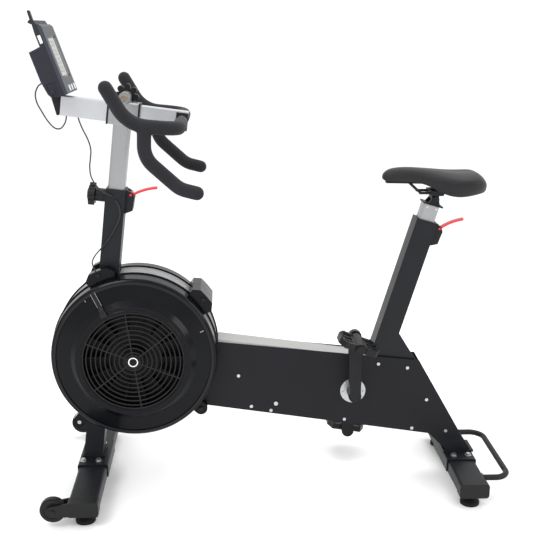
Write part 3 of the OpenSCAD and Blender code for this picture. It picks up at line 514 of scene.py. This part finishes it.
kn = ON_BOOM @ Vector((0.098, 0, 0.039))
v, f = lathe([(0.0001, 0.0298), (0.0085, 0.0298), (0.0085, 0.0325), (0.0072, 0.0338), (0.0036, 0.0338), (0.003, 0.0322), (0.0001, 0.0322)], 32)
place("boss_bolt", moved(y_axis(kn.x, kn.z), v), f, "handle_mast", "brass")
v, f = lathe([(0.0118, 0.0298), (0.0132, 0.0298), (0.0132, 0.0308), (0.0118, 0.0308)], 48)
place("boss_ring", moved(y_axis(kn.x, kn.z), v), f, "handle_mast", "silver_tube")

# two small screws near the top of the saddle tube's near face
for i, (xx, zz) in enumerate(((-0.011, 0.347), (0.013, 0.347))):
    sp = ON_SEAT @ Vector((xx, 0, zz))
    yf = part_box("seat_post")[0][1]
    v, f = lathe([(0.0001, 0.0), (0.0036, 0.0), (0.0034, 0.0009), (0.0022, 0.0014), (0.0001, 0.0014)], 32)
    place(f"seat_tube_screw_{i}", moved(frame_at((sp.x, yf, sp.z), (1, 0, 0), (0, 0, 1), (0, -1, 0)), v), f, "seat_mast", "steel")
# dark caps over the shell's upper and right-hand screws
for i, (a, rr0) in enumerate(((112, 0.2316), (40, 0.232), (-42, 0.229))):
    for side, nm in ((-1, "l"), (1, "r")):
        v, f = lathe([(0.0001, 0.0610), (0.0058, 0.0580), (0.0058, 0.0618), (0.0050, 0.0629), (0.0001, 0.0632)][1:] + [(0.0001, 0.0580)], 40)
        place(f"screw_cap_{i}{nm}", moved(frame_at((-0.387, 0, 0.380), (1, 0, 0), (0, 0, 1), (0, -1, 0)) if side < 0 else frame_at((-0.387, 0, 0.380), (1, 0, 0), (0, 0, 1), (0, 1, 0)),
              moved(Matrix.Rotation(R(a), 4, "Z"), moved(Matrix.Translation((rr0, 0, 0)), v))), f, "base", "cast_black")
# ---------------------------------------------------------------- fan: rims, hub badge, scale
fx, fz = -0.387, 0.380
for side, nm in ((-1, "l"), (1, "r")):
    v, f = lathe([(0.2136, 0.0332), (0.2166, 0.0336), (0.2172, 0.0350), (0.2166, 0.0368), (0.2136, 0.0374)], 160)
    place("shell_lip_" + nm, moved(y_axis(fx, fz, side), v), f, "base", "shell_black")
    v, f = lathe([(0.1320, 0.1078), (0.1345, 0.1090), (0.1375, 0.1090), (0.1390, 0.1078)], 128)
    place("intake_lip_" + nm, moved(y_axis(fx, fz, side), v), f, "base", "shell_black")
    v, f = lathe([(0.0001, 0.1102), (0.0165, 0.1102), (0.0165, 0.1112), (0.0155, 0.1117), (0.0001, 0.1119)], 64)
    place("hub_badge_" + nm, moved(y_axis(fx, fz, side), v), f, "base", "shell_black")
    v, f = lathe([(0.0098, 0.1116), (0.0126, 0.1116), (0.0126, 0.11225), (0.0098, 0.11225)], 64)
    place("hub_ring_" + nm, moved(y_axis(fx, fz, side), v), f, "base", "label_white")

# two small pale marks on the shell's rim
for i, (a, rr0) in enumerate(((127, 0.198), (23, 0.190))):
    bx, bf = round_box(0.010, 0.0022, 0.0006, 0.0002, 1)
    place(f"intake_mark_{i}", moved(y_axis(fx, fz), moved(Matrix.Rotation(R(a), 4, "Z"), moved(Matrix.Translation((rr0, 0, 0.0893 + (0.198 - rr0) * 0.2)) @ Matrix.Rotation(R(11.5), 4, "Y"), bx))),
          bf, "base", "pale_mark_and_edge_highlight")
# painted highlight: pale lines along the lever's edges stand in for the light its chamfers catch
for i, s in enumerate((-1, 1)):
    path = [Vector((x / 1000, s * 0.0058, z / 1000)) for x, z in ((166, 101.0), (180, 98.0), (195, 94.9), (204, 93.1))]
    v, f = tube_mesh(path, [0.0006] * 4, 8)
    place(f"intake_lever_edge_highlight_{i}", moved(y_axis(fx, fz), moved(Matrix.Rotation(R(119), 4, "Z"), v)), f, "damper", "pale_mark_and_edge_highlight")

# ---------------------------------------------------------------- console details


def on_face(verts):
    return moved(ON_FACE, verts)


def plate(name, x0, x1, y0, y1, z0, z1, mat, body="console", r=0.0015):
    v, f = round_box((x1 - x0) / 1000, (y1 - y0) / 1000, (z1 - z0) / 1000, min(r, (x1 - x0) / 2200), 2)
    c = Vector(((x0 + x1) / 2000, (y0 + y1) / 2000, (z0 + z1) / 2000))
    return place(name, on_face([p + c for p in v]), f, body, mat)


surface("lcd_dark", (0.02, 0.024, 0.02), 0.3, var=0.1, grain=800, bump=0.02, bevel=0)
# darker frame round the display, its wide right-hand strip partly a painted shadow where the recessed window's far wall
# lies in shade, and generic segment blocks on it
plate("display_frame_t", 31.3, 32.3, -51.5, 51.5, 119, 123.5, "lcd_dark")
plate("display_frame_b", 31.3, 32.3, -51.5, 51.5, 22.5, 27, "lcd_dark")
# painted shadow: this strip runs well past the frame's edge to darken the window where its recessed far wall lies in
# shade
plate("display_frame_and_shadow_r", 31.3, 32.3, 24, 51.5, 22.5, 123.5, "lcd_dark")
plate("display_frame_l", 31.3, 32.3, -51.5, -48, 22.5, 123.5, "lcd_dark")
for rr_ in range(4):
    for cc in range(2):
        y0 = -41 + cc * 30
        z0 = 36 + rr_ * 21
        for sname, (a, b2, c2, d2_) in {"a": (0, 18, 0, 1.2), "b": (0, 1.2, 0, 13), "c": (16.8, 18, 0, 13), "d": (0, 18, 12, 13.2)}.items():
            plate(f"cell_{rr_}{cc}{sname}", 31.5, 32.0, y0 + a, y0 + b2, z0 + c2, z0 + d2_, "lcd_dark", r=0.0002)
# blank label on the left side of the housing
quad = [(-590.8, 1182.6), (-583.8, 1184.9), (-577.8, 1166.8), (-584.0, 1164.4)]
lv = [Vector((x / 1000, -0.0752 - d, z / 1000)) for d in (0, 0.0005) for x, z in quad]
place("side_label", lv, [(0, 1, 2, 3), (7, 6, 5, 4), (0, 4, 5, 1), (1, 5, 6, 2), (2, 6, 7, 3), (3, 7, 4, 0)], "console", "label_white", smooth=False)

# ---------------------------------------------------------------- floor and light
bpy.ops.mesh.primitive_plane_add(size=400, location=(0, 0, -0.0005))
floor = bpy.context.object
floor.name = "studio_floor"
m, nt, b = new_mat("floor_white")
tcn = nt.nodes.new("ShaderNodeTexCoord")
nz = nt.nodes.new("ShaderNodeTexNoise")
nz.inputs["Scale"].default_value = 3
nt.links.new(tcn.outputs["Object"], nz.inputs["Vector"])
rp = nt.nodes.new("ShaderNodeValToRGB")
rp.color_ramp.elements[0].color, rp.color_ramp.elements[1].color = (0.955, 0.955, 0.955, 1), (0.975, 0.975, 0.975, 1)
nt.links.new(nz.outputs[0], rp.inputs[0])
nt.links.new(rp.outputs[0], b.inputs["Base Color"])
b.inputs["Roughness"].default_value = 0.9
b.inputs["Specular IOR Level"].default_value = 0.1
floor.data.materials.append(m)

w = bpy.data.worlds.new("studio")
S.world = w
w.use_nodes = True
bg = w.node_tree.nodes.get("Background") or w.node_tree.nodes.new("ShaderNodeBackground")
bg.inputs[0].default_value = (1, 1, 1, 1)
bg.inputs[1].default_value = 1.06


def area(name, loc, target, size, energy):
    ld = bpy.data.lights.new(name, "AREA")
    ld.shape = "RECTANGLE"
    ld.size, ld.size_y = size
    ld.energy = energy
    lo = bpy.data.objects.new(name, ld)
    S.collection.objects.link(lo)
    lo.location = loc
    lo.rotation_mode = "QUATERNION"
    lo.rotation_quaternion = (Vector(target) - Vector(loc)).to_track_quat("-Z", "Y")


area("key", (-1.6, -2.2, 3.0), (-0.1, 0, 0.5), (1.6, 1.2), 55)
area("fill", (2.6, -1.4, 1.8), (0, 0, 0.5), (1.4, 1.4), 25)
area("top", (0.2, 0.6, 3.2), (0, 0, 0.5), (2.4, 1.4), 40)
S.view_settings.view_transform = "Standard"
S.view_settings.look = "None"
